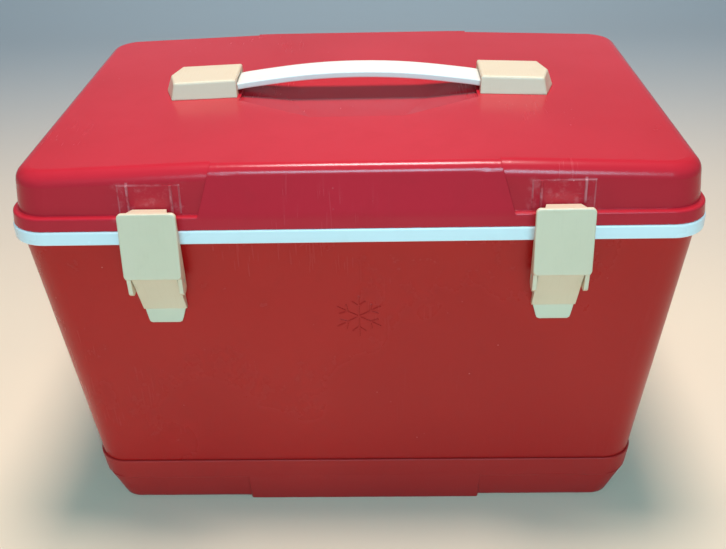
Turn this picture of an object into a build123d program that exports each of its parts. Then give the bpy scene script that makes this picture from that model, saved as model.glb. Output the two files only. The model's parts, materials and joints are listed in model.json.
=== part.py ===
from build123d import *

import math
import os

# Picnic cooler chest: a double-walled plastic case with a foam-filled lid, hinged at the back
# and held at the front by two over-centre latches. Every length is in millimetres.
# X runs along the chest, Y from front to back, Z up from the floor. The origin is on the floor
# below the middle of the case.

# Case ------------------------------------------------------------------------------------
DRAFT = 0.0875  # how much each wall leans, in mm sideways per mm of height (5 degrees)
WALL = 2.5  # red outer mouldings
GAP = 0.3  # room left round the foam blocks

CASE_REF_Z = 210.0  # height at which the case's half sizes are given
CASE_HALF_X = 196.0
CASE_HALF_Y = 134.8
CASE_CORNER = 20.0
CASE_TOP_Z = 216.4  # the sleeve's top edge, under the liner's rim
CASE_BOTTOM_Z = 24.2  # the sleeve's lower edge stands on the tray's shoulder

SPIGOT_TOP_Z = 34.7  # the sleeve is stepped in below here to sit inside the tray's collar
SPIGOT_STEP = 1.2

# Base tray -------------------------------------------------------------------------------
COLLAR_TOP_Z = 34.6
COLLAR_PROUD = 1.4
SHOULDER_Z = 18.6  # underside of the step between collar and foot
FOOT_HALF_X = 168.0
FOOT_HALF_Y = 118.0
FOOT_LEAN_X = 0.44
FOOT_LEAN_Y = 0.06
FOOT_CORNER = 13.0
FOOT_EDGE = 3.2
PANEL_FOOT_HALF_X = 78.0  # flush middle panel of the foot, front and back
PANEL_FOOT_HALF_Y = 119.8
FOOT_FOAM_INSET = 3.9  # foam in the foot, set in from its outside

# Liner -----------------------------------------------------------------------------------
LINER_WALL = 2.0
LINER_INSET = 20.0  # from the case's outside to the liner's outside
LINER_CORNER = 24.0
LINER_FLOOR_Z = 28.0
LINER_FLOOR_EDGE = 9.0
RIM_TOP_Z = 218.4
RIM_BOTTOM_Z = 210.0
RIM_HALF_X = 200.0
RIM_HALF_Y = 139.0
RIM_CORNER = 22.5
RIM_SKIRT = 2.4

# Lid -------------------------------------------------------------------------------------
LID_BOTTOM_Z = 218.4
FLANGE_HALF_X = 199.4
FLANGE_HALF_Y = 138.4
FLANGE_TOP_Z = 226.5
FLANGE_CORNER = 22.0
FLANGE_EDGE = 1.4
LID_WALL_HALF_X = 197.3  # lid wall above the flange, half sizes carried down to LID_BOTTOM_Z
LID_WALL_HALF_Y = 134.7
LID_WALL_CORNER = 21.0
LID_TOP_EDGE = 9.0
LID_PANEL_HALF_X = 91.0  # middle panel, front and back, at LID_BOTTOM_Z
LID_PANEL_LEAN_X = 0.30
LID_PANEL_LEAN_Y = 0.22  # one face with the flange below, nearly flush with the wall above
LID_PANEL_BEND = 40.0  # radius between the panel's upright foot and its leaning face
LID_PANEL_EDGE = 6.5
CROWN_FLAT_X = 75.0  # the top is level as far as here and falls away gently beyond
CROWN_FALL = 0.035
CROWN_EASE = 600.0  # radius that softens the change of slope
CROWN_MID_Z = 254.6
RECESS_DEPTH = 5.4  # finger recess under the handle
RECESS_FRONT = 57.0
RECESS_BACK = 49.0
RECESS_VALLEY_Y = -8.0
RECESS_END_DEPTH = 2.6

PAD_INNER_X = 98.0  # raised pads behind the latch lips
PAD_OUTER_X = 132.5
PAD_TOP_Z = 244.2
PAD_PROUD = 0.5
RIB_XS = (102.8, 127.2)
RIB_WIDTH = 1.2
RIB_TOP_Z = 244.2
RIB_PROUD = 1.2

LID_LINER_Z = 220.4  # underside of the lid liner's margin
LID_LINER_HALF_X = 196.3
LID_LINER_HALF_Y = 135.3
LID_LINER_CORNER = 19.0
PLUG_BOTTOM_Z = 212.4
PLUG_HALF_X = 171.2
PLUG_HALF_Y = 109.9
PLUG_CORNER = 20.0
PLUG_EDGE = 3.0
GASKET_OUTER_X = 187.0
GASKET_OUTER_Y = 126.0
GASKET_WIDTH = 6.0
GASKET_CORNER = 22.0
GASKET_BOTTOM_Z = 218.45

# Handle ----------------------------------------------------------------------------------
STRAP_WIDTH = 24.0
STRAP_THICK = 4.3
STRAP_EDGE = 1.0
STRAP_TOP = ((0.0, 268.3), (40.0, 266.4), (68.0, 263.0), (80.0, 261.0), (94.0, 258.3))
STRAP_END_X = 105.5
STRAP_HEAD_X = 94.5
STRAP_HEAD_WIDTH = 28.0

CAP_INNER_X = 79.0
CAP_SHOULDER_X = 121.9
CAP_TIP_X = 128.4
CAP_HALF_Y = 19.6
CAP_LEAN = 0.20
CAP_INNER_TOP_Z = 265.8
CAP_TIP_TOP_Z = 263.8
CAP_EDGE = 1.8
CAP_LIFT = 0.1  # gap between cap and lid
NECK_HALF_Y = 12.5
NECK_ROOF_Z = 263.4
POCKET_INNER_X = 92.5
POCKET_OUTER_X = 108.0
POCKET_HALF_Y = 14.6
POCKET_ROOF_Z = 260.6

# Hinges ----------------------------------------------------------------------------------
FITTING_XS = {"left": -115.0, "right": 115.0}  # hinges behind, latches in front
HINGE_Y = 144.6
HINGE_Z = 222.4
HINGE_KNUCKLE_R = 4.2
HINGE_PIN_R = 2.0
HINGE_WIDTH = 33.0
KNUCKLE_SPLIT_X = 5.5
KNUCKLE_CLEAR_X = 0.25
LEAF_THICK = 2.2
CASE_LEAF_BOTTOM_Z = 176.0
LID_LEAF_TOP_Z = 241.0
RUNNING_GAP = 0.05
FIXED_GAP = 0.02

# Latches, drawn for the middle of each latch at x = 0 --------------------------------------
LEVER_PIVOT = (-144.6, 200.0)  # (y, z)
HOOK_PIVOT = (-142.8, 189.0)
LATCH_PIN_R = 1.5
PIVOT_BOSS_R = 3.2
LUG_INNER_X = 6.0
LUG_OUTER_X = 9.7
LEVER_HALF_X = 12.9
LEVER_CHEEK = 2.6
LEVER_WEB = 2.4
TAB_TOP_HALF_X = 12.0
TAB_END_HALF_X = 10.2
HOOK_HALF_X = 16.4
HOOK_SIDE_X = 15.8  # the flanges stand just inside the plate's edges
HOOK_FLANGE_X = 13.4
HOOK_PLATE = 2.4
HOOK_CORNER = 2.6
HOOK_EDGE = 0.8
HOOK_TOP_Z = 233.4
HOOK_PLATE_BOTTOM_Z = 194.0
HOOK_EAR_BOTTOM_Z = 181.0
LIP_HALF_X = 12.0
LIP_END_HALF_X = 9.2
LIP_BOTTOM_Z = 226.8
LIP_END_TOP_Z = 231.3
LIP_END_Y = -135.7

# Fasteners -------------------------------------------------------------------------------
SCREW_R = 1.6
SCREW_LENGTH = 9.0
SCREW_HEAD_R = 3.1
SCREW_HEAD_HEIGHT = 1.6
SCREW_GAP = 0.05

# Raised snowflake on the front -------------------------------------------------------------
FLAKE_Z = 155.0
FLAKE_R = 15.0
FLAKE_LINE = 0.9
FLAKE_PROUD = 0.3


def case_half_x(z):
    return CASE_HALF_X - (CASE_REF_Z - z) * DRAFT


def case_half_y(z):
    return CASE_HALF_Y - (CASE_REF_Z - z) * DRAFT


def lid_wall_y(z):
    return LID_WALL_HALF_Y - (z - LID_BOTTOM_Z) * DRAFT


def as_solid(shape):
    """The one solid of a boolean's result."""
    solids = shape.solids()
    assert len(solids) == 1, len(solids)
    return solids[0]


def frustum(low_x, low_y, low_z, high_x, high_y, high_z):
    """Block with flat leaning sides between two centred rectangles given by their half sizes."""
    low = [(-low_x, -low_y, low_z), (low_x, -low_y, low_z), (low_x, low_y, low_z), (-low_x, low_y, low_z)]
    high = [
        (-high_x, -high_y, high_z),
        (high_x, -high_y, high_z),
        (high_x, high_y, high_z),
        (-high_x, high_y, high_z),
    ]
    outlines = [low[::-1], high]
    for index in range(4):
        after = (index + 1) % 4
        outlines.append([low[index], low[after], high[after], high[index]])
    return Solid(Shell([Face(Wire.make_polygon(points, close=True)) for points in outlines]))


def upright_edges(solid):
    """Edges that run from the bottom of a block to its top."""
    box = solid.bounding_box()
    height = box.max.Z - box.min.Z
    return [edge for edge in solid.edges() if edge.bounding_box().size.Z > 0.9 * height]


def edges_at(solid, z, tolerance=0.01):
    """Edges that lie wholly at one height."""
    found = []
    for edge in solid.edges():
        box = edge.bounding_box()
        if abs(box.min.Z - z) < tolerance and abs(box.max.Z - z) < tolerance:
            found.append(edge)
    return found


def rounded_block(low_x, low_y, low_z, high_x, high_y, high_z, corner):
    block = frustum(low_x, low_y, low_z, high_x, high_y, high_z)
    return as_solid(block.fillet(corner, upright_edges(block)))


def case_block(z_low, z_high, inset, corner):
    """Block that follows the case's leaning walls, set in from them."""
    return rounded_block(
        case_half_x(z_low) - inset,
        case_half_y(z_low) - inset,
        z_low,
        case_half_x(z_high) - inset,
        case_half_y(z_high) - inset,
        z_high,
        corner,
    )


def bar_x(points, x_low, x_high):
    """Prism along X with its outline given as (y, z) points."""
    outline = Wire.make_polygon([(x_low, y, z) for y, z in points], close=True)
    return Solid.extrude(Face(outline), Vector(x_high - x_low, 0, 0))


def rod_x(y, z, radius, x_low, x_high):
    plane = Plane(origin=(x_low, y, z), x_dir=(0, 1, 0), z_dir=(1, 0, 0))
    return Solid.make_cylinder(radius, x_high - x_low, plane)


def box(x_low, x_high, y_low, y_high, z_low, z_high):
    return Solid.make_box(x_high - x_low, y_high - y_low, z_high - z_low, Plane((x_low, y_low, z_low)))


def moved_x(solid, x):
    return solid.moved(Location((x, 0, 0)))


# Screws ----------------------------------------------------------------------------------
def screw(plane):
    """Pan-head screw; the plane lies under the head, its normal points out through the head."""
    shank = Solid.make_cylinder(SCREW_R, SCREW_LENGTH - 2.0, plane.offset(2.0 - SCREW_LENGTH))
    point = Solid.make_cone(0.3, SCREW_R, 2.0, plane.offset(-SCREW_LENGTH))
    head = Solid.make_cylinder(SCREW_HEAD_R, SCREW_HEAD_HEIGHT, plane)
    head = head.fillet(0.9, [head.edges().sort_by_distance(plane.offset(2 * SCREW_HEAD_HEIGHT).origin)[0]])
    body = head.fuse(shank).fuse(point)
    for turn in (0, 90):
        slot = Solid.make_box(3.6, 0.8, 1.2, Plane((-1.8, -0.4, SCREW_HEAD_HEIGHT - 0.8)))
        body = body.cut(plane * Rot(0, 0, turn) * slot)
    return as_solid(body)


def screw_hole(plane, gap=SCREW_GAP, depth=SCREW_LENGTH + 0.6, above=4.0):
    return Solid.make_cylinder(SCREW_R + gap, depth + above, plane.offset(-depth))


def wall_normal(side, leans_out):
    """Outward normal of a long wall; side is -1 in front and 1 behind."""
    return Vector(0, side, -DRAFT if leans_out else DRAFT).normalized()


def case_screw_plane(x, z, side):
    normal = wall_normal(side, True)
    on_wall = Vector(x, side * case_half_y(z), z)
    return Plane(origin=on_wall + normal * LEAF_THICK, x_dir=(1, 0, 0), z_dir=normal)


def lid_screw_plane(x, z, side):
    normal = wall_normal(side, False)
    on_wall = Vector(x, side * lid_wall_y(z), z)
    return Plane(origin=on_wall + normal * LEAF_THICK, x_dir=(1, 0, 0), z_dir=normal)


latch_screw_planes = [case_screw_plane(x, z, -1) for x in FITTING_XS.values() for z in (183.5, 206.0)]
case_hinge_planes = [case_screw_plane(x + dx, 186.0, 1) for x in FITTING_XS.values() for dx in (-9.5, 9.5)]
lid_hinge_planes = [lid_screw_plane(x + dx, 234.6, 1) for x in FITTING_XS.values() for dx in (-9.5, 9.5)]
case_screw_planes = latch_screw_planes + case_hinge_planes


# Case sleeve -----------------------------------------------------------------------------
def snowflake_bars():
    """Thin bars of a six-armed snowflake, standing proud of the front wall."""
    normal = wall_normal(-1, True)
    face = Plane(origin=(0, -case_half_y(FLAKE_Z), FLAKE_Z), x_dir=(1, 0, 0), z_dir=normal)
    sunk = 0.5
    bars = []
    for arm in range(6):
        turn = Rot(0, 0, 60 * arm + 30)
        spine = Solid.make_box(FLAKE_R, FLAKE_LINE, FLAKE_PROUD + sunk, Plane((0, -FLAKE_LINE / 2, -sunk)))
        bars.append(face * turn * spine)
        for side in (-1, 1):
            twig = Solid.make_box(5.2, FLAKE_LINE, FLAKE_PROUD + sunk, Plane((0, -FLAKE_LINE / 2, -sunk)))
            place = turn * Pos(FLAKE_R * 0.52, 0, 0) * Rot(0, 0, 50 * side)
            bars.append(face * place * twig)
    return bars


def make_case_shell():
    outer = case_block(CASE_BOTTOM_Z, CASE_TOP_Z, 0, CASE_CORNER)
    hollow = case_block(CASE_BOTTOM_Z - 1, CASE_TOP_Z + 1, WALL, CASE_CORNER - WALL)
    step_keep = case_block(CASE_BOTTOM_Z - 1, SPIGOT_TOP_Z, SPIGOT_STEP, CASE_CORNER - SPIGOT_STEP)
    step_all = case_block(CASE_BOTTOM_Z - 1, SPIGOT_TOP_Z, -4, CASE_CORNER + 4)
    shell = outer.cut(hollow).cut(step_all.cut(step_keep))
    shell = shell.cut(*[screw_hole(plane) for plane in case_screw_planes])
    shell = shell.fuse(*snowflake_bars())
    return as_solid(shell)


# Base tray -------------------------------------------------------------------------------
def foot_block(inset, z_low, z_high, corner, edge):
    block = rounded_block(
        FOOT_HALF_X - inset + z_low * FOOT_LEAN_X,
        FOOT_HALF_Y - inset + z_low * FOOT_LEAN_Y,
        z_low,
        FOOT_HALF_X - inset + z_high * FOOT_LEAN_X,
        FOOT_HALF_Y - inset + z_high * FOOT_LEAN_Y,
        z_high,
        corner,
    )
    return as_solid(block.fillet(edge, edges_at(block, z_low)))


def make_base_tray():
    collar = case_block(SHOULDER_Z, COLLAR_TOP_Z, -COLLAR_PROUD, CASE_CORNER + COLLAR_PROUD)
    collar = as_solid(collar.fillet(0.7, edges_at(collar, COLLAR_TOP_Z)))
    collar = as_solid(collar.fillet(1.0, edges_at(collar, SHOULDER_Z)))
    foot = foot_block(0, 0, SHOULDER_Z + 1, FOOT_CORNER, FOOT_EDGE)
    panel = frustum(
        PANEL_FOOT_HALF_X,
        PANEL_FOOT_HALF_Y,
        0,
        PANEL_FOOT_HALF_X + 2,
        case_half_y(SHOULDER_Z + 2) + COLLAR_PROUD - 0.05,
        SHOULDER_Z + 2,
    )
    panel = as_solid(panel.fillet(1.5, upright_edges(panel)))
    panel = as_solid(panel.fillet(0.7, edges_at(panel, 0)))
    tray = collar.fuse(foot).fuse(panel)
    spigot_gap = SPIGOT_STEP - 0.1
    tray = tray.cut(case_block(CASE_BOTTOM_Z, COLLAR_TOP_Z + 1, spigot_gap, CASE_CORNER - spigot_gap))
    tray = tray.cut(foot_block(WALL, WALL, CASE_BOTTOM_Z + 1, FOOT_CORNER - WALL, FOOT_EDGE - WALL))
    return as_solid(tray)


# Liner and case foam -----------------------------------------------------------------------
def liner_block(inset, z_low, z_high, corner, edge):
    block = case_block(z_low, z_high, inset, corner)
    return as_solid(block.fillet(edge, edges_at(block, z_low)))


def make_liner():
    tub = liner_block(LINER_INSET, LINER_FLOOR_Z, RIM_TOP_Z - 1, LINER_CORNER, LINER_FLOOR_EDGE)
    cavity = liner_block(
        LINER_INSET + LINER_WALL,
        LINER_FLOOR_Z + LINER_WALL,
        RIM_TOP_Z + 1,
        LINER_CORNER - LINER_WALL,
        LINER_FLOOR_EDGE - LINER_WALL,
    )
    rim = rounded_block(
        RIM_HALF_X, RIM_HALF_Y, RIM_BOTTOM_Z, RIM_HALF_X, RIM_HALF_Y, RIM_TOP_Z, RIM_CORNER
    )
    rim = as_solid(rim.fillet(1.0, edges_at(rim, RIM_TOP_Z) + edges_at(rim, RIM_BOTTOM_Z)))
    under = rounded_block(
        RIM_HALF_X - RIM_SKIRT,
        RIM_HALF_Y - RIM_SKIRT,
        RIM_BOTTOM_Z - 1,
        RIM_HALF_X - RIM_SKIRT,
        RIM_HALF_Y - RIM_SKIRT,
        CASE_TOP_Z,
        RIM_CORNER - RIM_SKIRT,
    )
    return as_solid(rim.cut(under).fuse(tub).cut(cavity))


def make_case_foam():
    upper = case_block(CASE_BOTTOM_Z, CASE_TOP_Z - GAP, WALL + GAP, CASE_CORNER - WALL - GAP)
    lower = foot_block(FOOT_FOAM_INSET, WALL, CASE_BOTTOM_Z, FOOT_CORNER - FOOT_FOAM_INSET, FOOT_EDGE - WALL)
    room = liner_block(
        LINER_INSET - GAP, LINER_FLOOR_Z, CASE_TOP_Z + 1, LINER_CORNER + GAP, LINER_FLOOR_EDGE
    )
    foam = upper.fuse(lower).cut(room)
    foam = foam.cut(*[screw_hole(plane, gap=0.4, above=0.0) for plane in case_screw_planes])
    return as_solid(foam)


# Lid -------------------------------------------------------------------------------------
def crown_z(x):
    """Height of the lid's top: level in the middle, falling away towards both ends."""
    return CROWN_MID_Z - max(0.0, abs(x) - CROWN_FLAT_X) * CROWN_FALL


def under_crown(drop):
    """Everything below the lid's top, lowered by the drop."""
    reach = 215.0
    low = 180.0
    points = [
        (-reach, 0, crown_z(reach) - drop),
        (-CROWN_FLAT_X, 0, CROWN_MID_Z - drop),
        (CROWN_FLAT_X, 0, CROWN_MID_Z - drop),
        (reach, 0, crown_z(reach) - drop),
        (reach, 0, low),
        (-reach, 0, low),
    ]
    face = Face(Wire.make_polygon(points, close=True))
    bends = [vertex for vertex in face.vertices() if abs(vertex.X) < reach - 1]
    face = face.fillet_2d(CROWN_EASE, bends)
    return Solid.extrude(face, Vector(0, 320, 0)).moved(Location((0, -160, 0)))


def handle_recess(drop, grow):
    """Shallow faceted hollow under the handle; drop and grow push it down and outwards."""
    top = CROWN_MID_Z + 6
    rim = CROWN_MID_Z - 0.4 - drop
    mid = 29.3
    front = RECESS_FRONT + grow
    back = RECESS_BACK + grow
    end = 77.0
    end_y = 25.0 + grow
    floor = 45.0
    plan = [(-end, -end_y), (-mid, -front), (mid, -front), (end, -end_y)]
    plan += [(end, end_y), (mid, back), (-mid, back), (-end, end_y)]
    valley = [(x, RECESS_VALLEY_Y) for x in (-end, -floor, floor, end)]
    depths = [RECESS_END_DEPTH, RECESS_DEPTH, RECESS_DEPTH, RECESS_END_DEPTH]
    deep = [(x, y, rim - depth) for (x, y), depth in zip(valley, depths)]
    a, b, c, d, e, f, g, h = [(x, y, rim) for x, y in plan]
    p, q, r, s = deep
    outlines = [(b, c, r, q), (a, b, q), (a, q, p), (c, d, r), (d, s, r)]
    outlines += [(f, g, q, r), (e, f, r), (e, r, s), (g, h, q), (h, p, q)]
    outlines += [(d, e, s), (h, a, p), (a, b, c, d, e, f, g, h)]
    lower = Solid(Shell([Face(Wire.make_polygon(points, close=True)) for points in outlines]))
    upper = Solid.extrude(
        Face(Wire.make_polygon([(x, y, rim) for x, y in plan], close=True)), Vector(0, 0, top - rim)
    )
    return as_solid(lower.fuse(upper))


def top_outline(block):
    """Outer edges of a block's crowned top, without the lines where the top changes slope."""
    outline = []
    for edge in block.edges():
        across = edge.bounding_box().size.Y > 100
        inside = edge.bounding_box().max.X < 100 and edge.bounding_box().min.X > -100
        if edge.bounding_box().min.Z > 235 and not (across and inside):
            outline.append(edge)
    return outline


def panel_slab(inset, z_low, z_high):
    """The middle panel's section, upright at its foot and leaning above the flange's height."""
    low_y = FLANGE_HALF_Y - inset + (LID_BOTTOM_Z - z_low) * DRAFT
    bend_y = FLANGE_HALF_Y - inset - (FLANGE_TOP_Z - LID_BOTTOM_Z) * DRAFT
    high_y = bend_y - (z_high - FLANGE_TOP_Z) * LID_PANEL_LEAN_Y
    front = [(-low_y, z_low), (-bend_y, FLANGE_TOP_Z), (-high_y, z_high)]
    back = [(high_y, z_high), (bend_y, FLANGE_TOP_Z), (low_y, z_low)]
    slab = bar_x(front + back, -150, 150)
    bends = [
        edge for edge in edges_at(slab, FLANGE_TOP_Z) if edge.bounding_box().size.X > 299
    ]
    return as_solid(slab.fillet(LID_PANEL_BEND - inset, bends))


def lid_form(inset):
    """The lid's outside, or its hollow when the inset is the wall thickness."""
    base_z = LID_BOTTOM_Z - (1.0 if inset > 0 else 0.0)
    down = LID_BOTTOM_Z - base_z
    tall_z = 262.0
    rise = tall_z - LID_BOTTOM_Z
    flange_top = FLANGE_TOP_Z - max(inset, 0)
    flange_rise = flange_top - LID_BOTTOM_Z
    flange = rounded_block(
        FLANGE_HALF_X - inset + down * DRAFT,
        FLANGE_HALF_Y - inset + down * DRAFT,
        base_z,
        FLANGE_HALF_X - inset - flange_rise * DRAFT,
        FLANGE_HALF_Y - inset - flange_rise * DRAFT,
        flange_top,
        FLANGE_CORNER - inset,
    )
    if inset == 0:
        flange = as_solid(flange.fillet(FLANGE_EDGE, edges_at(flange, flange_top)))
        flange = as_solid(flange.fillet(0.8, edges_at(flange, base_z)))
    crown = under_crown(inset)
    walls = rounded_block(
        LID_WALL_HALF_X - inset + down * DRAFT,
        LID_WALL_HALF_Y - inset + down * DRAFT,
        base_z,
        LID_WALL_HALF_X - inset - rise * DRAFT,
        LID_WALL_HALF_Y - inset - rise * DRAFT,
        tall_z,
        LID_WALL_CORNER - inset,
    )
    walls = as_solid(walls.intersect(crown))
    walls = as_solid(walls.fillet(LID_TOP_EDGE - inset, top_outline(walls)))
    panel = frustum(
        LID_PANEL_HALF_X - inset + down * LID_PANEL_LEAN_X,
        150,
        base_z,
        LID_PANEL_HALF_X - inset - rise * LID_PANEL_LEAN_X,
        150,
        tall_z,
    )
    panel = as_solid(panel.intersect(panel_slab(inset, base_z, tall_z)))
    if inset == 0:
        feet = [edge for edge in edges_at(panel, base_z) if edge.bounding_box().size.Y < 1.0]
        panel = as_solid(panel.fillet(0.8, feet))
    panel = as_solid(panel.intersect(crown))
    long_edges = [edge for edge in top_outline(panel) if edge.bounding_box().size.Y < 1.0]
    panel = as_solid(panel.fillet(LID_PANEL_EDGE - inset, long_edges))
    flange_end_x = LID_PANEL_HALF_X - inset - (flange_top - LID_BOTTOM_Z) * LID_PANEL_LEAN_X - 0.5
    middle = box(-flange_end_x, flange_end_x, -150, 150, base_z - 1, flange_top + 1)
    return as_solid(walls.fuse(panel).fuse(*flange.cut(middle).solids()))


def make_lid_shell():
    shell = lid_form(0)
    pads = []
    outline = lid_form(-PAD_PROUD)
    for sign in (-1, 1):
        xs = sorted((sign * PAD_INNER_X, sign * PAD_OUTER_X))
        block = box(xs[0], xs[1], -140, -125, FLANGE_TOP_Z - 2, PAD_TOP_Z)
        pads.append(as_solid(block.intersect(outline)))
    rib_outline = lid_form(-RIB_PROUD)
    for sign in (-1, 1):
        for x in RIB_XS:
            low = sign * x - RIB_WIDTH / 2
            rib = box(low, low + RIB_WIDTH, -140, -125, FLANGE_TOP_Z - 2, RIB_TOP_Z)
            pads.append(as_solid(rib.intersect(rib_outline)))
    below = box(-210, 210, -150, 150, LID_BOTTOM_Z, FLANGE_TOP_Z)
    for pad in pads:
        shell = shell.fuse(as_solid(pad.cut(below)))
    shell = shell.cut(handle_recess(0, 0))
    hollow = lid_form(WALL).cut(handle_recess(WALL, 3.0))
    shell = shell.cut(hollow)
    shell = shell.cut(*[screw_hole(plane) for plane in lid_hinge_planes])
    shell = shell.cut(*[cap_screw_hole(x, y, 0.3) for x, y in cap_screw_spots])
    return as_solid(shell)


def plug_block(inset, z_low, z_high, edge):
    block = rounded_block(
        PLUG_HALF_X - inset - (LID_LINER_Z - z_low) * DRAFT,
        PLUG_HALF_Y - inset - (LID_LINER_Z - z_low) * DRAFT,
        z_low,
        PLUG_HALF_X - inset - (LID_LINER_Z - z_high) * DRAFT,
        PLUG_HALF_Y - inset - (LID_LINER_Z - z_high) * DRAFT,
        z_high,
        PLUG_CORNER - inset,
    )
    return as_solid(block.fillet(edge, edges_at(block, z_low)))


def make_lid_liner():
    top_z = LID_LINER_Z + LINER_WALL
    margin = rounded_block(
        LID_LINER_HALF_X, LID_LINER_HALF_Y, LID_LINER_Z, LID_LINER_HALF_X, LID_LINER_HALF_Y, top_z, LID_LINER_CORNER
    )
    plug = plug_block(0, PLUG_BOTTOM_Z, LID_LINER_Z + 1, PLUG_EDGE)
    hollow = plug_block(LINER_WALL, PLUG_BOTTOM_Z + LINER_WALL, top_z + 1, PLUG_EDGE - LINER_WALL)
    return as_solid(margin.fuse(plug).cut(hollow))


def make_lid_foam():
    top_z = LID_LINER_Z + LINER_WALL
    upper = lid_form(WALL + GAP).cut(handle_recess(WALL + GAP, 3.5))
    upper = upper.cut(box(-210, 210, -150, 150, 200, top_z))
    plug = plug_block(LINER_WALL + GAP, PLUG_BOTTOM_Z + LINER_WALL, top_z + 1, PLUG_EDGE - LINER_WALL)
    foam = upper.fuse(plug)
    foam = foam.cut(*[screw_hole(plane, gap=0.4, above=0.0) for plane in lid_hinge_planes])
    foam = foam.cut(*[cap_screw_room(x, y) for x, y in cap_screw_spots])
    return as_solid(foam)


def make_gasket():
    outer = rounded_block(
        GASKET_OUTER_X, GASKET_OUTER_Y, GASKET_BOTTOM_Z, GASKET_OUTER_X, GASKET_OUTER_Y, LID_LINER_Z, GASKET_CORNER
    )
    inner_x = GASKET_OUTER_X - GASKET_WIDTH
    inner_y = GASKET_OUTER_Y - GASKET_WIDTH
    inner = rounded_block(
        inner_x, inner_y, GASKET_BOTTOM_Z - 1, inner_x, inner_y, LID_LINER_Z + 1, GASKET_CORNER - GASKET_WIDTH
    )
    ring = as_solid(outer.cut(inner))
    return as_solid(ring.fillet(0.6, edges_at(ring, GASKET_BOTTOM_Z)))


# Handle ----------------------------------------------------------------------------------
cap_screw_spots = [(sign * x, y) for sign in (-1, 1) for x, y in ((86.0, -15.4), (86.0, 15.4), (115.0, 0.0))]
cap_screw_grip = 8.0


def cap_screw_plane(x, y):
    """Plane under the head, which bears up against the inside of the lid; the normal points down."""
    z = crown_z(abs(x) + 4) - WALL - 0.2
    return Plane(origin=(x, y, z), x_dir=(1, 0, 0), z_dir=(0, 0, -1))


def cap_screw_hole(x, y, gap):
    plane = cap_screw_plane(x, y)
    return screw_hole(plane, gap=gap, above=0.0)


def cap_screw_room(x, y):
    """Pocket in the lid's foam that clears a screw head."""
    z = cap_screw_plane(x, y).origin.Z
    return Solid.make_cylinder(SCREW_HEAD_R + 0.6, 12.0, Plane((x, y, z - SCREW_HEAD_HEIGHT - 0.6)))


def make_cap(sign):
    """End cap of the handle: a hood over the strap's end, open below and towards the strap."""
    low_z = 250.0
    plan = [
        (CAP_INNER_X, -CAP_HALF_Y),
        (CAP_SHOULDER_X, -CAP_HALF_Y),
        (CAP_TIP_X, 0),
        (CAP_SHOULDER_X, CAP_HALF_Y),
        (CAP_INNER_X, CAP_HALF_Y),
    ]
    rise = 20.0
    lean = CAP_LEAN * rise
    high_plan = [
        (CAP_INNER_X + lean * 0.25, -CAP_HALF_Y + lean),
        (CAP_SHOULDER_X - lean * 0.9, -CAP_HALF_Y + lean),
        (CAP_TIP_X - lean * 1.9, 0),
        (CAP_SHOULDER_X - lean * 0.9, CAP_HALF_Y - lean),
        (CAP_INNER_X + lean * 0.25, CAP_HALF_Y - lean),
    ]
    foot_z = CROWN_MID_Z - 0.6
    low = Wire.make_polygon([(x, y, foot_z) for x, y in plan], close=True)
    high = Wire.make_polygon([(x, y, foot_z + rise) for x, y in high_plan], close=True)
    cap = Solid.make_loft([low, high], ruled=True)
    skirt = Solid.extrude(
        Face(Wire.make_polygon([(x, y, low_z) for x, y in plan], close=True)), Vector(0, 0, foot_z - low_z)
    )
    slope = (CAP_INNER_TOP_Z - CAP_TIP_TOP_Z) / (CAP_TIP_X - CAP_INNER_X)
    roof = [
        (CAP_INNER_X - 5, CAP_INNER_TOP_Z + 5 * slope),
        (CAP_TIP_X + 5, CAP_TIP_TOP_Z - 5 * slope),
        (CAP_TIP_X + 5, 290),
        (CAP_INNER_X - 5, 290),
    ]
    above = Solid.extrude(
        Face(Wire.make_polygon([(x, -30, z) for x, z in roof], close=True)), Vector(0, 60, 0)
    )
    cap = as_solid(cap.cut(above))
    top = cap.faces().sort_by(Axis.Z)[-1]
    sides = [edge for edge in cap.edges() if edge.bounding_box().size.Z > 5 and edge.center().X > 100]
    cap = as_solid(cap.fillet(CAP_EDGE, top.edges() + sides))
    cap = cap.fuse(skirt)
    cap = cap.cut(under_crown(-CAP_LIFT))
    cap = cap.cut(box(CAP_INNER_X - 2, POCKET_INNER_X + 1, -NECK_HALF_Y, NECK_HALF_Y, low_z, NECK_ROOF_Z))
    cap = cap.cut(box(POCKET_INNER_X, POCKET_OUTER_X, -POCKET_HALF_Y, POCKET_HALF_Y, low_z, POCKET_ROOF_Z))
    spots = [spot for spot in cap_screw_spots if spot[0] > 0]
    cap = cap.cut(*[cap_screw_hole(x, y, SCREW_GAP) for x, y in spots])
    cap = as_solid(cap)
    if sign < 0:
        cap = cap.mirror(Plane.YZ)
    return cap


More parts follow.
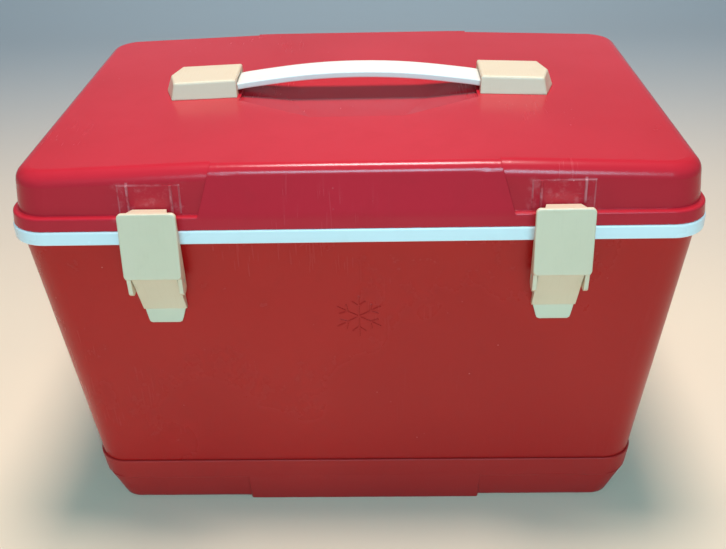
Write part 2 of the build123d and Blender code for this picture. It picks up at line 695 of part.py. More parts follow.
def make_strap():
    top_points = [(-x, 0, z) for x, z in reversed(STRAP_TOP[1:])] + [(x, 0, z) for x, z in STRAP_TOP]
    low_points = [(x, y, z - STRAP_THICK) for x, y, z in top_points]
    bend_x = STRAP_TOP[-1][0]
    top_z = STRAP_TOP[-1][1]
    low_z = top_z - STRAP_THICK
    flat = [(1, 0, 0), (1, 0, 0)]
    edges = [
        Spline(*top_points, tangents=flat),
        Line((bend_x, 0, top_z), (STRAP_END_X, 0, top_z)),
        Line((STRAP_END_X, 0, top_z), (STRAP_END_X, 0, low_z)),
        Line((STRAP_END_X, 0, low_z), (bend_x, 0, low_z)),
        Spline(*low_points, tangents=flat),
        Line((-bend_x, 0, low_z), (-STRAP_END_X, 0, low_z)),
        Line((-STRAP_END_X, 0, low_z), (-STRAP_END_X, 0, top_z)),
        Line((-STRAP_END_X, 0, top_z), (-bend_x, 0, top_z)),
    ]
    face = Face(Wire(edges))
    strap = Solid.extrude(face, Vector(0, STRAP_WIDTH, 0)).moved(Location((0, -STRAP_WIDTH / 2, 0)))
    long_edges = [edge for edge in strap.edges() if edge.bounding_box().size.X > 100]
    strap = as_solid(strap.fillet(STRAP_EDGE, long_edges))
    for sign in (-1, 1):
        xs = sorted((sign * STRAP_HEAD_X, sign * STRAP_END_X))
        head = box(xs[0], xs[1], -STRAP_HEAD_WIDTH / 2, STRAP_HEAD_WIDTH / 2, low_z, top_z)
        strap = strap.fuse(head)
    return as_solid(strap)


# Hinges, drawn at x = 0 --------------------------------------------------------------------
def make_case_leaf():
    """Leaf on the case's back wall; its two outer knuckles carry the pin."""
    half = HINGE_WIDTH / 2
    low = CASE_LEAF_BOTTOM_Z
    top = 208.8
    plate = bar_x(
        [
            (case_half_y(low), low),
            (case_half_y(top), top),
            (case_half_y(top) + LEAF_THICK, top),
            (case_half_y(low) + LEAF_THICK, low),
        ],
        -half,
        half,
    )
    corners = [edge for edge in plate.edges() if abs(edge.center().Z - low) < 0.3 and edge.length < 3]
    plate = as_solid(plate.fillet(4.0, corners))
    clear = 139.8  # stands off the liner's rim
    arm = [
        (case_half_y(196) + 1, 196),
        (case_half_y(top) + 1, top),
        (clear, top),
        (clear, HINGE_Z),
        (HINGE_Y + HINGE_KNUCKLE_R, HINGE_Z),
        (HINGE_Y + HINGE_KNUCKLE_R, 214.0),
    ]
    leaf = plate
    for sign in (-1, 1):
        xs = sorted((sign * (KNUCKLE_SPLIT_X + KNUCKLE_CLEAR_X), sign * half))
        leaf = leaf.fuse(bar_x(arm, xs[0], xs[1]))
        leaf = leaf.fuse(rod_x(HINGE_Y, HINGE_Z, HINGE_KNUCKLE_R, xs[0], xs[1]))
    leaf = leaf.cut(rod_x(HINGE_Y, HINGE_Z, HINGE_PIN_R + FIXED_GAP, -half - 1, half + 1))
    return as_solid(leaf)


def make_lid_leaf():
    """Leaf on the lid's back wall; its middle knuckle turns on the pin."""
    half = HINGE_WIDTH / 2
    low = FLANGE_TOP_Z + 0.1
    top = LID_LEAF_TOP_Z
    plate = bar_x(
        [
            (lid_wall_y(low), low),
            (lid_wall_y(top), top),
            (lid_wall_y(top) + LEAF_THICK, top),
            (lid_wall_y(low) + LEAF_THICK, low),
        ],
        -half,
        half,
    )
    corners = [edge for edge in plate.edges() if abs(edge.center().Z - top) < 0.3 and edge.length < 3]
    plate = as_solid(plate.fillet(4.0, corners))
    reach = KNUCKLE_SPLIT_X - KNUCKLE_CLEAR_X
    arm = [
        (lid_wall_y(low) + 1, low),
        (139.6, low),
        (139.9, HINGE_Z),
        (HINGE_Y + HINGE_KNUCKLE_R, HINGE_Z),
        (HINGE_Y + HINGE_KNUCKLE_R - 0.6, 225.0),
        (lid_wall_y(236) + 1, 236.0),
    ]
    leaf = plate.fuse(bar_x(arm, -reach, reach))
    leaf = leaf.fuse(rod_x(HINGE_Y, HINGE_Z, HINGE_KNUCKLE_R, -reach, reach))
    leaf = leaf.cut(rod_x(HINGE_Y, HINGE_Z, HINGE_PIN_R + RUNNING_GAP, -half, half))
    return as_solid(leaf)


def make_hinge_pin():
    half = HINGE_WIDTH / 2
    pin = rod_x(HINGE_Y, HINGE_Z, HINGE_PIN_R, -half - 0.6, half + 0.6)
    return as_solid(pin.fillet(0.5, [edge for edge in pin.edges() if edge.length > 5]))


# Latches, drawn at x = 0 -------------------------------------------------------------------
def make_bracket():
    """Plate screwed to the case's front wall, with two lugs that carry the lever's pin."""
    low = 177.0
    top = 209.4
    plate = bar_x(
        [
            (-case_half_y(low), low),
            (-case_half_y(top), top),
            (-case_half_y(top) - LEAF_THICK, top),
            (-case_half_y(low) - LEAF_THICK, low),
        ],
        -LUG_OUTER_X,
        LUG_OUTER_X,
    )
    pivot_y, pivot_z = LEVER_PIVOT
    lug = [
        (-case_half_y(192) - 1, 192.0),
        (-case_half_y(208) - 1, 208.0),
        (pivot_y + 1.0, pivot_z + 3.0),
        (pivot_y, pivot_z - PIVOT_BOSS_R),
    ]
    bracket = plate
    for sign in (-1, 1):
        xs = sorted((sign * LUG_INNER_X, sign * LUG_OUTER_X))
        bracket = bracket.fuse(bar_x(lug, xs[0], xs[1]))
        bracket = bracket.fuse(rod_x(pivot_y, pivot_z, PIVOT_BOSS_R, xs[0], xs[1]))
    bracket = bracket.cut(rod_x(pivot_y, pivot_z, LATCH_PIN_R + FIXED_GAP, -12, 12))
    return as_solid(bracket)


def make_lever():
    """Lever: a web between two cheeks, pivoting on the bracket's pin and carrying the hook's pin."""
    pivot_y, pivot_z = LEVER_PIVOT
    hook_y, hook_z = HOOK_PIVOT
    outer_top = (-148.0, 196.0)
    outer_mid = (-148.3, 192.6)
    outer_low = (-133.3, 164.0)
    tab_low = (-135.6, 156.0)
    web = [
        outer_top,
        outer_mid,
        outer_low,
        tab_low,
        (tab_low[0] + LEVER_WEB, tab_low[1]),
        (outer_low[0] + LEVER_WEB, outer_low[1]),
        (outer_mid[0] + LEVER_WEB, outer_mid[1] + 0.5),
        (outer_top[0] + LEVER_WEB, outer_top[1]),
    ]
    cheek = [
        (pivot_y - PIVOT_BOSS_R, pivot_z),
        outer_mid,
        outer_low,
        (outer_low[0] + LEVER_WEB, outer_low[1]),
        (-133.2, 176.0),
        (hook_y + 3.2, hook_z - 1.6),
        (hook_y + 3.2, hook_z + 1.6),
        (pivot_y + PIVOT_BOSS_R, pivot_z),
    ]
    lever = bar_x(web, -LEVER_HALF_X, LEVER_HALF_X)
    for sign in (-1, 1):
        xs = sorted((sign * (LEVER_HALF_X - LEVER_CHEEK), sign * LEVER_HALF_X))
        lever = lever.fuse(bar_x(cheek, xs[0], xs[1]))
        lever = lever.fuse(rod_x(pivot_y, pivot_z, PIVOT_BOSS_R, xs[0], xs[1]))
    lever = lever.cut(rod_x(pivot_y, pivot_z, LATCH_PIN_R + RUNNING_GAP, -20, 20))
    lever = lever.cut(rod_x(hook_y, hook_z, LATCH_PIN_R + RUNNING_GAP, -20, 20))
    # the finger tab is stepped in from the lever and narrows to rounded corners
    for sign in (-1, 1):
        trim = [
            (sign * TAB_TOP_HALF_X, -140, 164.2),
            (sign * 20.0, -140, 164.2),
            (sign * 20.0, -140, 150.0),
            (sign * (TAB_END_HALF_X - 2.0), -140, 150.0),
            (sign * (TAB_END_HALF_X - 2.0), -140, 156.0),
            (sign * (TAB_END_HALF_X - 0.6), -140, 156.6),
            (sign * TAB_END_HALF_X, -140, 158.0),
        ]
        cutter = Solid.extrude(Face(Wire.make_polygon(trim, close=True)), Vector(0, 12, 0))
        lever = lever.cut(cutter)
    return as_solid(lever)


def make_hook():
    """Hook: outer plate with side flanges, a lip over the lid's flange and two ears for its pin."""
    slope = 4.5 / 39.0

    def outer(z):
        return -147.0 - (HOOK_TOP_Z - z) * slope

    low = HOOK_PLATE_BOTTOM_Z
    top = HOOK_TOP_Z
    face = Plane(origin=(0, outer(top), top), x_dir=(1, 0, 0), z_dir=(0, -1, slope))
    height = (top - low) * math.hypot(1, slope)
    outline = [
        (-HOOK_HALF_X, 0, 0),
        (HOOK_HALF_X, 0, 0),
        (HOOK_HALF_X, -height, 0),
        (-HOOK_HALF_X, -height, 0),
    ]
    plate = Solid.extrude(Face(Wire.make_polygon(outline, close=True)), Vector(0, 0, -HOOK_PLATE))
    corners = [edge for edge in plate.edges() if edge.bounding_box().size.Z > HOOK_PLATE - 0.1]
    plate = as_solid(plate.fillet(HOOK_CORNER, corners))
    plate = as_solid(plate.fillet(HOOK_EDGE, edges_at(plate, 0)))
    plate = face * plate
    hook_y, hook_z = HOOK_PIVOT
    flange = [
        (outer(low) + 1.0, low),
        (outer(top - 2.4) + 1.0, top - 2.4),
        (outer(top) + 3.6, top - 2.4),
        (-140.4, 204.0),
        (-139.2, hook_z + 3.0),
        (-139.2, HOOK_EAR_BOTTOM_Z + 2.0),
        (-141.4, HOOK_EAR_BOTTOM_Z),
        (-146.2, HOOK_EAR_BOTTOM_Z),
        (-148.0, HOOK_EAR_BOTTOM_Z + 2.0),
        (-148.8, low),
    ]
    lip_side = [
        (outer(top) + 1.0, LIP_BOTTOM_Z),
        (outer(top) + 1.0, top - 0.4),
        (outer(top) + HOOK_PLATE, top - 0.4),
        (LIP_END_Y - 0.8, LIP_END_TOP_Z),
        (LIP_END_Y, LIP_END_TOP_Z - 0.8),
        (LIP_END_Y, LIP_BOTTOM_Z),
    ]
    lip_plan = [
        (-LIP_HALF_X, outer(top), LIP_BOTTOM_Z - 1),
        (LIP_HALF_X, outer(top), LIP_BOTTOM_Z - 1),
        (LIP_END_HALF_X, LIP_END_Y + 1, LIP_BOTTOM_Z - 1),
        (-LIP_END_HALF_X, LIP_END_Y + 1, LIP_BOTTOM_Z - 1),
    ]
    lip = Solid.extrude(Face(Wire.make_polygon(lip_plan, close=True)), Vector(0, 0, 12))
    lip = as_solid(lip.intersect(bar_x(lip_side, -LIP_HALF_X, LIP_HALF_X)))
    hook = plate.fuse(lip)
    for sign in (-1, 1):
        xs = sorted((sign * HOOK_FLANGE_X, sign * HOOK_SIDE_X))
        hook = hook.fuse(bar_x(flange, xs[0], xs[1]))
    hook = hook.cut(rod_x(hook_y, hook_z, LATCH_PIN_R + FIXED_GAP, -20, 20))
    return as_solid(hook)


def make_latch_pin(pivot, half_length):
    pin = rod_x(pivot[0], pivot[1], LATCH_PIN_R, -half_length, half_length)
    return as_solid(pin.fillet(0.4, [edge for edge in pin.edges() if edge.length > 5]))


# Assembly --------------------------------------------------------------------------------
nodes = {
    "case_shell": make_case_shell(),
    "base_tray": make_base_tray(),
    "case_foam": make_case_foam(),
    "liner": make_liner(),
    "lid_shell": make_lid_shell(),
    "lid_foam": make_lid_foam(),
    "lid_liner": make_lid_liner(),
    "lid_gasket": make_gasket(),
    "handle_strap": make_strap(),
    "handle_cap_left": make_cap(-1),
    "handle_cap_right": make_cap(1),
    "handle_screws": Compound([screw(cap_screw_plane(x, y)) for x, y in cap_screw_spots]),
    "latch_screws": Compound([screw(plane) for plane in latch_screw_planes]),
    "hinge_screws_case": Compound([screw(plane) for plane in case_hinge_planes]),
    "hinge_screws_lid": Compound([screw(plane) for plane in lid_hinge_planes]),
}
fittings = {
    "hinge_leaf_case": make_case_leaf(),
    "hinge_leaf_lid": make_lid_leaf(),
    "hinge_pin": make_hinge_pin(),
    "latch_bracket": make_bracket(),
    "latch_lever": make_lever(),
    "latch_hook": make_hook(),
    "latch_lever_pin": make_latch_pin(LEVER_PIVOT, LEVER_HALF_X - 0.2),
    "latch_hook_pin": make_latch_pin(HOOK_PIVOT, HOOK_SIDE_X - 0.2),
}
holes = {
    "hinge_leaf_case": case_hinge_planes,
    "hinge_leaf_lid": lid_hinge_planes,
    "latch_bracket": latch_screw_planes,
}
for name, fitting in fittings.items():
    for side, x in FITTING_XS.items():
        piece = moved_x(fitting, x)
        near = [plane for plane in holes.get(name, []) if abs(plane.origin.X - x) < HINGE_WIDTH]
        if near:
            piece = as_solid(piece.cut(*[screw_hole(plane) for plane in near]))
        nodes[name + "_" + side] = piece

os.makedirs("parts", exist_ok=True)
for name, node in nodes.items():
    export_step(node, os.path.join("parts", name + ".step"))
    print(name, round(node.volume / 1000.0, 2), "cm3")
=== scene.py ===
"""Looks of the cooler chest: materials, floor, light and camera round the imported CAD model.

Lengths are metres. The model stands on the floor at z = 0 with its front towards -y.
"""

import json
import math

import bmesh
import bpy
from mathutils import Matrix, Vector

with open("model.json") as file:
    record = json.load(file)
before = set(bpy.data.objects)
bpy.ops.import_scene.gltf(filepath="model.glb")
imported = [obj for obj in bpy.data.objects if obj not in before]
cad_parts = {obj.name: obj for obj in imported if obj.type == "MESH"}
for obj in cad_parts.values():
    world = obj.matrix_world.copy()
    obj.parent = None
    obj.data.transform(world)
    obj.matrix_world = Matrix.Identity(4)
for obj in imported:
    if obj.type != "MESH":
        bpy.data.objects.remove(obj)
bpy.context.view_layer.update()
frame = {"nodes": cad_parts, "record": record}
nodes = frame["nodes"]

# Colours, in linear light -------------------------------------------------------------------
LID_RED = (0.60, 0.019, 0.034)
LID_RED_DEEP = (0.50, 0.012, 0.022)
CASE_RED = (0.50, 0.010, 0.009)
CASE_RED_DEEP = (0.42, 0.007, 0.007)
BASE_RED = (0.50, 0.020, 0.017)
BASE_RED_DEEP = (0.42, 0.013, 0.012)
# pale scuff colour; on the lid it also paints highlights along the latch pad edges
SCUFF_AND_HIGHLIGHT = (0.86, 0.42, 0.42)
CREAM = (0.80, 0.61, 0.43)
CREAM_DARK = (0.58, 0.42, 0.26)
CREAM_WORN = (0.90, 0.78, 0.62)
WHITE = (0.80, 0.83, 0.84)
WHITE_DARK = (0.60, 0.60, 0.57)
STRAP = (0.87, 0.81, 0.72)
FOAM = (0.82, 0.78, 0.62)
SEAL = (0.45, 0.45, 0.44)
SEAL_DARK = (0.30, 0.30, 0.30)
STEEL = (0.56, 0.55, 0.53)
STEEL_DARK = (0.34, 0.33, 0.31)
FLOOR = (0.90, 0.68, 0.50)
FLOOR_BEHIND = (0.40, 0.46, 0.50)
FLOOR_MOTTLE = (0.45, 0.43, 0.41)
OVERHEAD_COLOUR = (1.0, 0.95, 0.92)
FILL_COLOUR = (0.25, 0.72, 0.90)
ROOM_COLOUR = (0.74, 0.86, 1.0, 1.0)

# Raised pads and ribs on the lid's front, where the latch lips rub and their edges get painted highlights;
# the same on both sides --------
LIP_FRONT_Y = -0.118  # the painted rubbing and edge highlights all lie in front of this
PAD_INNER_X = 0.0980
PAD_OUTER_X = 0.1325
PAD_TOP_Z = 0.2442
PAD_MIDDLE_Z = 0.2360
RIB_INNER_X = 0.1028
RIB_OUTER_X = 0.1272


# Node-graph helpers --------------------------------------------------------------------------
class Graph:
    """A material's node tree, with a short call for each kind of node used here."""

    def __init__(self, name):
        self.material = bpy.data.materials.new(name)
        self.material.use_nodes = True
        self.tree = self.material.node_tree
        self.tree.nodes.clear()
        self.output = self.tree.nodes.new("ShaderNodeOutputMaterial")
        self.shader = self.tree.nodes.new("ShaderNodeBsdfPrincipled")
        self.link(self.shader.outputs["BSDF"], self.output.inputs["Surface"])
        self.place = self.tree.nodes.new("ShaderNodeTexCoord").outputs["Object"]

    def link(self, source, target):
        self.tree.links.new(source, target)

    def feed(self, target, value):
        if isinstance(value, bpy.types.NodeSocket):
            self.link(value, target)
        else:
            target.default_value = value

    def mapped(self, scale=(1, 1, 1), turn=(0, 0, 0), shift=(0, 0, 0)):
        node = self.tree.nodes.new("ShaderNodeMapping")
        self.link(self.place, node.inputs["Vector"])
        node.inputs["Scale"].default_value = scale
        node.inputs["Rotation"].default_value = turn
        node.inputs["Location"].default_value = shift
        return node.outputs["Vector"]

    def noise(self, scale, detail=3.0, rough=0.5, vector=None):
        node = self.tree.nodes.new("ShaderNodeTexNoise")
        self.link(vector or self.place, node.inputs["Vector"])
        node.inputs["Scale"].default_value = scale
        node.inputs["Detail"].default_value = detail
        node.inputs["Roughness"].default_value = rough
        return node.outputs["Fac"]

    def spots(self, scale, vector=None):
        node = self.tree.nodes.new("ShaderNodeTexVoronoi")
        self.link(vector or self.place, node.inputs["Vector"])
        node.inputs["Scale"].default_value = scale
        return node.outputs["Distance"]

    def ramp(self, value, low, high, start=0.0, end=1.0):
        """Value from low to high, eased to the range from start to end."""
        node = self.tree.nodes.new("ShaderNodeMapRange")
        node.interpolation_type = "SMOOTHSTEP"
        self.feed(node.inputs["Value"], value)
        for key, number in (("From Min", low), ("From Max", high), ("To Min", start), ("To Max", end)):
            node.inputs[key].default_value = number
        return node.outputs["Result"]

    def calc(self, kind, first, second=0.0):
        node = self.tree.nodes.new("ShaderNodeMath")
        node.operation = kind
        self.feed(node.inputs[0], first)
        self.feed(node.inputs[1], second)
        return node.outputs["Value"]

    def times(self, first, second):
        return self.calc("MULTIPLY", first, second)

    def plus(self, first, second):
        return self.calc("ADD", first, second)

    def mix(self, amount, first, second):
        node = self.tree.nodes.new("ShaderNodeMix")
        node.data_type = "RGBA"
        self.feed(node.inputs["Factor"], amount)
        sockets = [s for s in node.inputs if s.type == "RGBA"]
        for socket, value in zip(sockets, (first, second)):
            self.feed(socket, value if isinstance(value, bpy.types.NodeSocket) else (*value, 1.0))
        return [s for s in node.outputs if s.type == "RGBA"][0]

    def axes(self):
        node = self.tree.nodes.new("ShaderNodeSeparateXYZ")
        self.link(self.place, node.inputs["Vector"])
        return node.outputs["X"], node.outputs["Y"], node.outputs["Z"]

    def bump(self, height, distance, strength=1.0, under=None):
        node = self.tree.nodes.new("ShaderNodeBump")
        node.inputs["Strength"].default_value = strength
        node.inputs["Distance"].default_value = distance
        self.feed(node.inputs["Height"], height)
        if under is not None:
            self.link(under, node.inputs["Normal"])
        return node.outputs["Normal"]

    def scratches(self, turns, fineness, length, share):
        """Thin scratches, one set for each turn in radians; share is how much of the noise stays bare."""
        total = 0.0
        for index, turn in enumerate(turns):
            tilt = (turn * 0.6, turn, turn * 1.7)
            vector = self.mapped((fineness, length, length), tilt, (index * 3.1, 0, 0))
            total = self.plus(total, self.ramp(self.noise(1.0, 0.0, 0.4, vector), share, share + 0.05))
        return self.calc("MINIMUM", total, 1.0)

    def near(self, value, centre, half, ease):
        """One where a coordinate is within half of the centre, easing to nothing beyond."""
        away = self.calc("ABSOLUTE", self.calc("SUBTRACT", value, centre))
        return self.ramp(away, half + ease, half)

    def worn_edges(self, radius, low, high):
        """One along convex edges, found from how much a small bevel would turn the surface."""
        node = self.tree.nodes.new("ShaderNodeBevel")
        node.samples = 4
        node.inputs["Radius"].default_value = radius
        plain = self.tree.nodes.new("ShaderNodeNewGeometry").outputs["Normal"]
        dot = self.tree.nodes.new("ShaderNodeVectorMath")
        dot.operation = "DOT_PRODUCT"
        self.link(node.outputs["Normal"], dot.inputs[0])
        self.link(plain, dot.inputs[1])
        return self.ramp(dot.outputs["Value"], high, low)

    def soft_edges(self, radius):
        node = self.tree.nodes.new("ShaderNodeBevel")
        node.samples = 4
        node.inputs["Radius"].default_value = radius
        return node.outputs["Normal"]


def latch_wear_and_edge_highlights(g):
    """Pale lines on the lid's ribs and along the outline of the pads behind the latch lips, partly rubbing
    wear and partly a painted highlight on their edges, plus a hazy scuffed patch.
    """
    x, y, z = g.axes()
    across = g.calc("ABSOLUTE", x)
    in_front = g.ramp(y, LIP_FRONT_Y, LIP_FRONT_Y - 0.006)
    pad_middle_x = (PAD_INNER_X + PAD_OUTER_X) / 2
    ribs = g.plus(g.near(across, RIB_INNER_X, 0.0006, 0.0003), g.near(across, RIB_OUTER_X, 0.0006, 0.0003))
    ribs = g.times(ribs, g.near(z, PAD_MIDDLE_Z + 0.0005, 0.0085, 0.0012))
    sides = g.plus(g.near(across, PAD_INNER_X, 0.0003, 0.0003), g.near(across, PAD_OUTER_X, 0.0003, 0.0003))
    sides = g.times(sides, g.near(z, PAD_MIDDLE_Z, 0.0082, 0.0006))
    top = g.times(g.near(z, PAD_TOP_Z, 0.0003, 0.0004), g.near(across, pad_middle_x, 0.0176, 0.0005))
    patch = g.near(across, pad_middle_x, 0.0185, 0.004)
    patch = g.times(patch, g.near(z, PAD_MIDDLE_Z - 0.001, 0.009, 0.004))
    broken = g.ramp(g.noise(110.0, 3.0, 0.6), 0.34, 0.62)
    # the rib and pad lines are partly rubbing wear, partly painted edge highlight
    lines = g.plus(g.times(ribs, 0.36), g.times(g.plus(sides, top), 0.21))
    haze = g.times(patch, g.ramp(g.noise(140.0, 4.0, 0.7), 0.48, 0.72, 0.0, 0.12))
    return g.times(in_front, g.plus(g.times(lines, broken), haze))


def red_plastic(name, colour, deep, rough_low, rough_high, latch_marks_and_highlights=False):
    g = Graph(name)
    broad = g.noise(4.0, 3.0, 0.5)
    fine = g.noise(60.0, 4.0, 0.6)
    worn = g.ramp(g.noise(9.0, 3.0, 0.6), 0.50, 0.72)
    scratch = g.times(g.scratches((0.3, 1.2, 2.1, 2.9), 760.0, 42.0, 0.74), worn)
    nick = g.times(g.ramp(g.spots(150.0), 0.09, 0.05), g.ramp(g.noise(17.0, 2.0), 0.62, 0.66))
    base = g.mix(g.ramp(broad, 0.35, 0.70), colour, deep)
    base = g.mix(g.times(g.ramp(fine, 0.45, 0.75), 0.25), base, deep)
    pale = g.plus(g.times(scratch, 0.012), g.times(nick, 0.40))
    # on the lid: rubbing wear and painted edge highlights by the latch pads
    if latch_marks_and_highlights:
        pale = g.plus(pale, latch_wear_and_edge_highlights(g))
    base = g.mix(g.calc("MINIMUM", pale, 0.85), base, SCUFF_AND_HIGHLIGHT)
    g.link(base, g.shader.inputs["Base Color"])
    rough = g.plus(g.ramp(broad, 0.3, 0.75, rough_low, rough_high), g.times(scratch, 0.10))
    rough = g.plus(rough, g.times(g.ramp(fine, 0.4, 0.8), 0.05))
    g.link(rough, g.shader.inputs["Roughness"])
    g.shader.inputs["IOR"].default_value = 1.46
    g.shader.inputs["Specular IOR Level"].default_value = 0.38
    rounded = g.soft_edges(0.0006)
    ripple = g.bump(g.noise(9.0, 1.0, 0.4), 0.0004, 0.35, rounded)
    grain = g.bump(g.noise(900.0, 2.0, 0.6), 0.00002, 0.5, ripple)
    g.link(grain, g.shader.inputs["Normal"])
    return g.material


def cream_plastic():
    g = Graph("cream_plastic")
    broad = g.noise(22.0, 4.0, 0.6)
    dirt = g.ramp(g.noise(70.0, 5.0, 0.65), 0.54, 0.74)
    scratch = g.scratches((0.7, 1.9, 2.6), 1100.0, 60.0, 0.72)
    base = g.mix(g.ramp(broad, 0.40, 0.85, 0.0, 0.20), CREAM, CREAM_DARK)
    base = g.mix(g.times(dirt, 0.12), base, CREAM_DARK)
    base = g.mix(g.times(scratch, 0.04), base, CREAM_DARK)
    base = g.mix(g.times(g.worn_edges(0.0008, 0.80, 0.97), 0.30), base, CREAM_WORN)
    g.link(base, g.shader.inputs["Base Color"])
    rough = g.plus(g.ramp(broad, 0.3, 0.8, 0.34, 0.46), g.times(scratch, 0.15))
    g.link(rough, g.shader.inputs["Roughness"])
    g.shader.inputs["Subsurface Weight"].default_value = 0.05
    g.shader.inputs["Subsurface Radius"].default_value = (0.004, 0.003, 0.002)
    ripple = g.bump(g.noise(60.0, 2.0, 0.5), 0.0002, 0.4, g.soft_edges(0.0007))
    g.link(g.bump(g.noise(1400.0, 2.0, 0.6), 0.00002, 0.5, ripple), g.shader.inputs["Normal"])
    return g.material


def white_plastic(name, colour, rough_low, rough_high):
    g = Graph(name)
    broad = g.noise(9.0, 4.0, 0.6)
    grime = g.ramp(g.noise(45.0, 5.0, 0.7), 0.56, 0.8)
    base = g.mix(g.ramp(broad, 0.4, 0.85, 0.0, 0.12), colour, WHITE_DARK)
    base = g.mix(g.times(grime, 0.16), base, WHITE_DARK)
    g.link(base, g.shader.inputs["Base Color"])
    g.link(g.ramp(broad, 0.3, 0.8, rough_low, rough_high), g.shader.inputs["Roughness"])
    ripple = g.bump(g.noise(30.0, 2.0, 0.5), 0.0003, 0.4, g.soft_edges(0.0005))
    g.link(g.bump(g.noise(1200.0, 2.0, 0.6), 0.00002, 0.5, ripple), g.shader.inputs["Normal"])
    return g.material


def foam_block():
    g = Graph("foam_block")
    bead = g.spots(260.0)
    base = g.mix(g.ramp(bead, 0.2, 0.7, 0.0, 0.35), FOAM, CREAM_DARK)
    g.link(base, g.shader.inputs["Base Color"])
    g.link(g.ramp(bead, 0.1, 0.7, 0.75, 0.92), g.shader.inputs["Roughness"])
    g.link(g.bump(bead, 0.0008, 0.8), g.shader.inputs["Normal"])
    return g.material


def soft_seal():
    g = Graph("soft_seal")
    pore = g.noise(700.0, 4.0, 0.7)
    g.link(g.mix(g.ramp(pore, 0.4, 0.7), SEAL, SEAL_DARK), g.shader.inputs["Base Color"])
    g.link(g.ramp(pore, 0.3, 0.7, 0.62, 0.82), g.shader.inputs["Roughness"])
    g.link(g.bump(pore, 0.0002, 0.7), g.shader.inputs["Normal"])
    return g.material


def steel():
    g = Graph("zinc_steel")
    patch = g.noise(240.0, 4.0, 0.6)
    brush = g.noise(1.0, 2.0, 0.5, g.mapped((4000.0, 500.0, 500.0)))
    g.link(g.mix(g.ramp(patch, 0.35, 0.75), STEEL, STEEL_DARK), g.shader.inputs["Base Color"])
    g.shader.inputs["Metallic"].default_value = 1.0
    g.link(g.plus(g.ramp(patch, 0.3, 0.8, 0.26, 0.42), g.times(brush, 0.08)), g.shader.inputs["Roughness"])
    g.link(g.bump(brush, 0.00004, 0.5), g.shader.inputs["Normal"])
    return g.material


finishes = {
    "cream_fittings": cream_plastic(),
    "white_liner": white_plastic("white_liner", WHITE, 0.24, 0.36),
    "white_strap": white_plastic("white_strap", STRAP, 0.34, 0.46),
    "foam": foam_block(),
    "gasket": soft_seal(),
    "steel_pin": steel(),
}
finishes["steel_screw"] = finishes["steel_pin"]
red_finishes = {
    # the lid's red also gets rubbing wear and painted edge highlights by its latch pads
    "lid_shell": red_plastic("red_lid", LID_RED, LID_RED_DEEP, 0.17, 0.27, latch_marks_and_highlights=True),
    "case_shell": red_plastic("red_case", CASE_RED, CASE_RED_DEEP, 0.22, 0.34),
    "base_tray": red_plastic("red_base", BASE_RED, BASE_RED_DEEP, 0.34, 0.46),
}
slot_of = {part["node"]: part["material_slot"] for part in frame["record"]["subparts"]}
for name, node in nodes.items():
    node.data.materials.clear()
    node.data.materials.append(red_finishes.get(name) or finishes[slot_of[name]])


# Floor and backdrop --------------------------------------------------------------------------
def backdrop():
    """A pale sweep: flat floor, a wide bend, then an upright wall well behind the chest."""
    mesh = bpy.data.meshes.new("sweep")
    half_width = 3.5
    front_y = -2.5
    wall_y = 1.5
    wall_top = 3.0
    bend = 0.5
    bend_steps = 16
    profile = [(front_y, 0.0), (wall_y - bend, 0.0)]
    for step in range(1, bend_steps + 1):
        angle = math.pi / 2 * step / bend_steps
        profile.append((wall_y - bend + bend * math.sin(angle), bend - bend * math.cos(angle)))
    profile.append((wall_y, wall_top))
    shape = bmesh.new()
    rows = [[shape.verts.new((x, y, z)) for y, z in profile] for x in (-half_width, half_width)]
    for i in range(len(profile) - 1):
        shape.faces.new((rows[0][i], rows[1][i], rows[1][i + 1], rows[0][i + 1]))
    for face in shape.faces:
        face.smooth = True
    shape.to_mesh(mesh)
    shape.free()
    sweep = bpy.data.objects.new("sweep", mesh)
    bpy.context.scene.collection.objects.link(sweep)
    g = Graph("sweep_paper")
    behind = g.ramp(g.axes()[1], 0.0, 1.1)
    tone = g.mix(behind, FLOOR, FLOOR_BEHIND)
    tone = g.mix(g.times(g.ramp(g.noise(3.0, 3.0), 0.3, 0.8), 0.10), tone, FLOOR_MOTTLE)
    g.link(tone, g.shader.inputs["Base Color"])
    g.shader.inputs["Roughness"].default_value = 0.75
    sweep.data.materials.append(g.material)


backdrop()


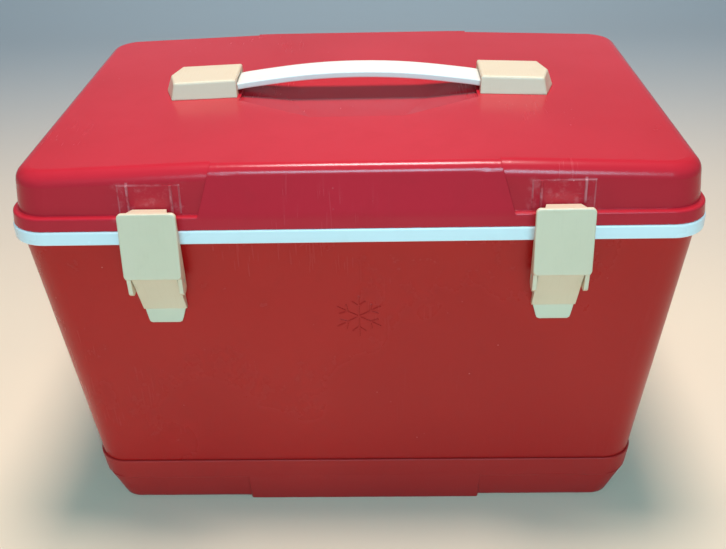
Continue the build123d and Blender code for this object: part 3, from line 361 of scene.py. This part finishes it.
# Light -----------------------------------------------------------------------------------------
def soft_light(name, place, target, size, spread, power, colour):
    """Rectangular lamp aimed at a target, its size in metres, spread in degrees and power in watts."""
    lamp = bpy.data.lights.new(name, "AREA")
    lamp.shape = "RECTANGLE"
    lamp.size = size[0]
    lamp.size_y = size[1]
    lamp.spread = math.radians(spread)
    lamp.energy = power
    lamp.color = colour
    item = bpy.data.objects.new(name, lamp)
    item.location = place
    item.rotation_euler = (Vector(target) - Vector(place)).to_track_quat("-Z", "Y").to_euler()
    bpy.context.scene.collection.objects.link(item)


soft_light("overhead", (0.03, 0.05, 1.75), (0.02, 0, 0.22), (0.5, 0.5), 180, 25.5, OVERHEAD_COLOUR)
soft_light("front_fill", (0.1, -1.5, 0.95), (0.02, 0, 0.16), (0.9, 0.5), 70, 4.1, FILL_COLOUR)
world = bpy.data.worlds.new("room")
world.use_nodes = True
background = world.node_tree.nodes["Background"]
background.inputs["Color"].default_value = ROOM_COLOUR
background.inputs["Strength"].default_value = 0.24
bpy.context.scene.world = world
bpy.context.scene.view_settings.view_transform = "Standard"

# Camera: held just above and in front of the lid, looking down 30 degrees -----------------------
CAMERA_PLACE = (0.0161, -0.6091, 0.4610)
CAMERA_TURN = math.radians(-1.56)
CAMERA_PITCH = math.radians(30.02)
CAMERA_ROLL = math.radians(-1.44)
CAMERA_LENS = 46.87  # millimetres, on a sensor of the width below
SENSOR_WIDTH = 36.0


def add_camera():
    forward = Vector(
        (
            math.sin(CAMERA_TURN) * math.cos(CAMERA_PITCH),
            math.cos(CAMERA_TURN) * math.cos(CAMERA_PITCH),
            -math.sin(CAMERA_PITCH),
        )
    )
    level = Vector((math.cos(CAMERA_TURN), -math.sin(CAMERA_TURN), 0.0))
    upright = level.cross(forward)
    right = level * math.cos(CAMERA_ROLL) + upright * math.sin(CAMERA_ROLL)
    up = upright * math.cos(CAMERA_ROLL) - level * math.sin(CAMERA_ROLL)
    lens = bpy.data.cameras.new("camera")
    lens.lens = CAMERA_LENS
    lens.sensor_width = SENSOR_WIDTH
    camera = bpy.data.objects.new("camera", lens)
    turn = Matrix((right, up, -forward)).transposed()
    camera.matrix_world = Matrix.Translation(CAMERA_PLACE) @ turn.to_4x4()
    bpy.context.scene.collection.objects.link(camera)
    bpy.context.scene.camera = camera


add_camera()
